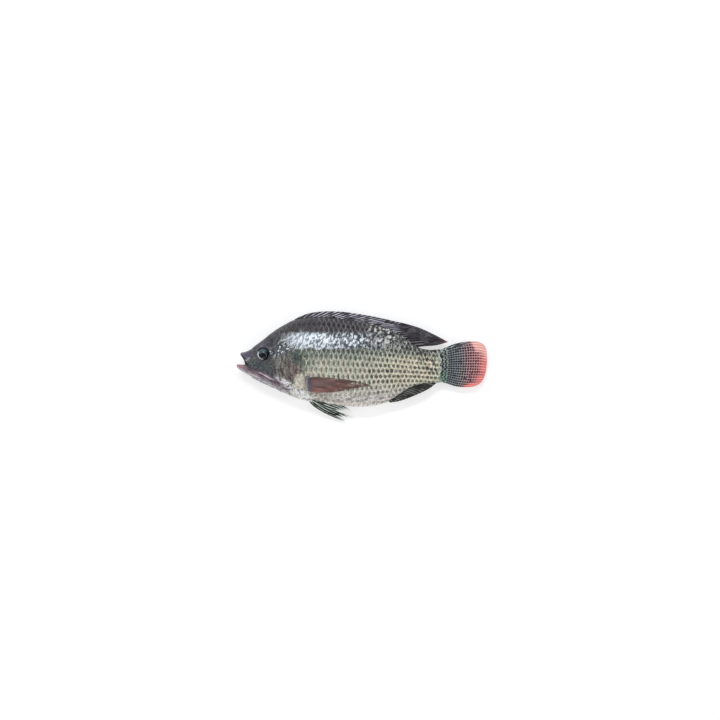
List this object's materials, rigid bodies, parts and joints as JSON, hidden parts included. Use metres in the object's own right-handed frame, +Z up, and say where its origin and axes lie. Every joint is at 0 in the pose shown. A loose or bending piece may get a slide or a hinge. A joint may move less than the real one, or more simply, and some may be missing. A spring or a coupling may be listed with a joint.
{
  "type": "tilapia",
  "caption": "Whole raw tilapia lying on its right flank, with open mouth, folded dorsal fin, paired fins and spread tail fin.",
  "frame": {"origin": "centre of the bounding box's underside, on the surface that the fish lies on", "axes": "+X along the fish from the snout to the tail, +Y towards its back, +Z up out of its left flank"},
  "size_m": [0.3002, 0.1342, 0.0429],
  "materials": {
    "skin": "wet scaled skin, silver green with dark scale spots, darker on the back and cream on the belly",
    "dark_fin": "wet blackish purple fin membrane between paler rays and spines",
    "tail_fin": "wet dark fin with thin pale and dark bars and a red rear margin",
    "brown_fin": "wet, thin reddish brown fin",
    "eye": "clear wet eye with a black pupil and a blue grey iris"
  },
  "bodies": {
    "root": {"body": "skin", "eye_left": "eye", "eye_right": "eye", "dorsal_fin": "dark_fin", "anal_fin": "dark_fin", "caudal_fin": "tail_fin", "pectoral_fin_left": "brown_fin", "pectoral_fin_right": "brown_fin", "pelvic_fin_left": "dark_fin", "pelvic_fin_right": "dark_fin"}
  },
  "joints": []
}
